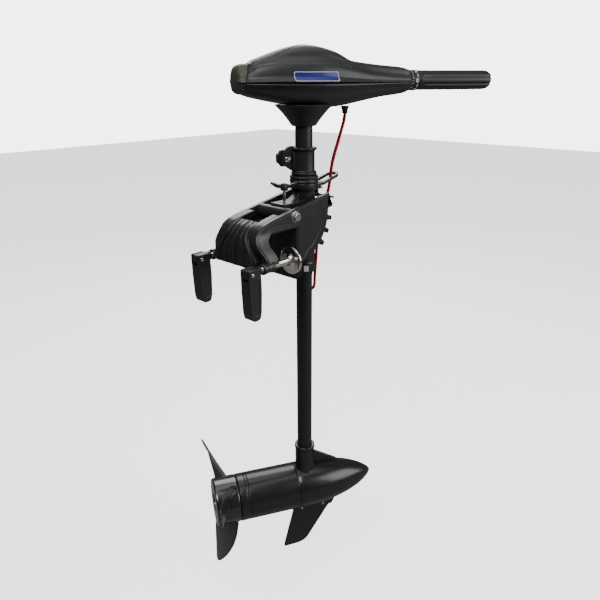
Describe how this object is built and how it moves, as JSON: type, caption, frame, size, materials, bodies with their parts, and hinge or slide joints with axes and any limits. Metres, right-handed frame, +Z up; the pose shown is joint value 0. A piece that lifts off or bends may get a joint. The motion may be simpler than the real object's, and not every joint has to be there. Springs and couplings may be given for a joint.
{
  "type": "trolling motor",
  "caption": "Transom-mount electric trolling motor: screw-clamp bracket with tilt lock, steering and sliding column, finned motor with propeller, and a tiller head with twist grip.",
  "frame": {"origin": "on the face that bears on the boat's transom, in the bracket's middle plane, 40 mm below the underside of the hook that sits on the transom's top edge", "axes": "+X astern, out of the transom; +Y to starboard of the bracket; +Z up, along the column"},
  "size_m": [0.5127, 0.3763, 0.9697],
  "materials": {
    "bracket_black": "glass-filled nylon, moulded, satin black",
    "column_black": "glass-fibre composite, satin black",
    "motor_black": "painted aluminium casting, semi-gloss black",
    "head_charcoal": "moulded, fine texture, charcoal",
    "cap_olive": "moulded, faintly olive charcoal",
    "label_blue": "plain printed film",
    "grip_black": "soft moulded grip",
    "dial_black": "moulded dial",
    "prop_grey": "polished moulded nylon",
    "chrome": "bright plated steel",
    "steel": "stainless, bright",
    "nylon_white": "natural nylon",
    "rubber_black": "moulded rubber",
    "lead_red": "flexible insulation, red",
    "lead_black": "flexible insulation, black",
    "copper": "wound copper on a laminated core",
    "magnet_grey": "sintered ferrite",
    "switch_plastic": "moulded"
  },
  "bodies": {
    "bracket": {"side_plate_port": "bracket_black", "side_plate_starboard": "bracket_black", "front_apron": "bracket_black", "transom_saddle": "bracket_black", "tilt_bolt": "steel", "tilt_nut": "steel"},
    "swivel": {"swivel_block": "bracket_black", "upper_bush": "bracket_black", "lower_bush": "nylon_white", "lever_pin": "steel", "lead_red": "lead_red", "lead_black": "lead_black", "lead_hank": "lead_black", "terminal_red": "steel", "terminal_black": "steel"},
    "wing_screw": {"wing_spindle": "chrome", "wing_handle": "bracket_black"},
    "lock_lever": {"tilt_lever": "bracket_black", "lock_bar": "steel"},
    "collar": {"depth_collar": "column_black", "collar_bolt": "chrome"},
    "collar_screw": {"collar_knob": "column_black"},
    "shaft": {"column_tube": "column_black", "nose_housing": "motor_black", "magnet_can": "motor_black", "end_bell": "motor_black", "magnet_upper": "magnet_grey", "magnet_lower": "magnet_grey", "brush_plate": "switch_plastic", "bearing_front": "steel", "bearing_rear": "steel", "shaft_seal": "rubber_black", "skeg": "motor_black", "skeg_screw_front": "steel", "skeg_screw_rear": "steel", "head_base": "head_charcoal", "head_cover": "head_charcoal", "head_rear_cap": "cap_olive", "label_plate": "label_blue", "speed_switch": "switch_plastic", "lead_grommet": "rubber_black"},
    "rotor": {"motor_shaft": "steel", "armature": "copper", "propeller": "prop_grey", "drive_pin": "steel", "prop_nut": "steel"},
    "tiller": {"tiller_tube": "steel"},
    "twist_grip": {"tiller_grip": "grip_black", "speed_dial": "dial_black"},
    "pad_port": {"clamp_pad_port": "chrome"},
    "screw_port": {"clamp_screw_port": "chrome", "clamp_yoke_port": "bracket_black", "clamp_hinge_pin_port": "chrome"},
    "grip_port": {"clamp_grip_port": "bracket_black"},
    "pad_starboard": {"clamp_pad_starboard": "chrome"},
    "screw_starboard": {"clamp_screw_starboard": "chrome", "clamp_yoke_starboard": "bracket_black", "clamp_hinge_pin_starboard": "chrome"},
    "grip_starboard": {"clamp_grip_starboard": "bracket_black"}
  },
  "joints": [
    {"name": "tilt", "type": "hinge", "parent": "bracket", "child": "swivel", "pos_m": [-0.003, 0, 0.058], "axis": [0, 1, 0], "range_deg": [-75, 0]},
    {"name": "steer", "type": "hinge", "parent": "swivel", "child": "collar", "pos_m": [0.062, 0, 0.1], "axis": [0, 0, 1], "range_deg": [-60, 120], "deforming": ["lead_red", "lead_black"]},
    {"name": "depth", "type": "slide", "parent": "collar", "child": "shaft", "axis": [0, 0, 1], "range_m": [-0.025, 0.28]},
    {"name": "prop_spin", "type": "hinge", "parent": "shaft", "child": "rotor", "pos_m": [0.062, 0, -0.512], "axis": [0.866, -0.5, 0], "continuous": true},
    {"name": "tiller_extend", "type": "slide", "parent": "shaft", "child": "tiller", "axis": [0.866, -0.5, 0], "range_m": [0, 0.12]},
    {"name": "speed_twist", "type": "hinge", "parent": "tiller", "child": "twist_grip", "pos_m": [0.2352, -0.1, 0.252], "axis": [0.866, -0.5, 0], "range_deg": [-90, 120]},
    {"name": "lever_swing", "type": "hinge", "parent": "swivel", "child": "lock_lever", "pos_m": [0.0882, 0, 0.09], "axis": [0, 1, 0], "range_deg": [-30, 20]},
    {"name": "wing_turn", "type": "hinge", "parent": "swivel", "child": "wing_screw", "pos_m": [0.0155, 0, 0.09], "axis": [0, 0, 1], "range_deg": [-180, 180]},
    {"name": "knob_turn", "type": "hinge", "parent": "collar", "child": "collar_screw", "pos_m": [0.04188, 0.02316, 0.1357], "axis": [-0.5, -0.866, 0], "range_deg": [-180, 180]},
    {"name": "clamp_advance_port", "type": "slide", "parent": "bracket", "child": "pad_port", "axis": [1, 0, 0], "range_m": [-0.018, 0.003]},
    {"name": "clamp_turn_port", "type": "hinge", "parent": "pad_port", "child": "screw_port", "pos_m": [-0.08, -0.057, -0.002], "axis": [1, 0, 0], "range_deg": [-4320, 720]},
    {"name": "grip_fold_port", "type": "hinge", "parent": "screw_port", "child": "grip_port", "pos_m": [-0.1185, -0.057, -0.002], "axis": [0, 1, 0], "range_deg": [0, 90]},
    {"name": "clamp_advance_starboard", "type": "slide", "parent": "bracket", "child": "pad_starboard", "axis": [1, 0, 0], "range_m": [-0.018, 0.003]},
    {"name": "clamp_turn_starboard", "type": "hinge", "parent": "pad_starboard", "child": "screw_starboard", "pos_m": [-0.08, 0.057, -0.002], "axis": [1, 0, 0], "range_deg": [-4320, 720]},
    {"name": "grip_fold_starboard", "type": "hinge", "parent": "screw_starboard", "child": "grip_starboard", "pos_m": [-0.1185, 0.057, -0.002], "axis": [0, 1, 0], "range_deg": [0, 90]}
  ],
  "couplings": [
    {"joint": "clamp_advance_port", "follows": "clamp_turn_port", "m_per_rad": 0.00023873},
    {"joint": "clamp_advance_starboard", "follows": "clamp_turn_starboard", "m_per_rad": 0.00023873}
  ]
}
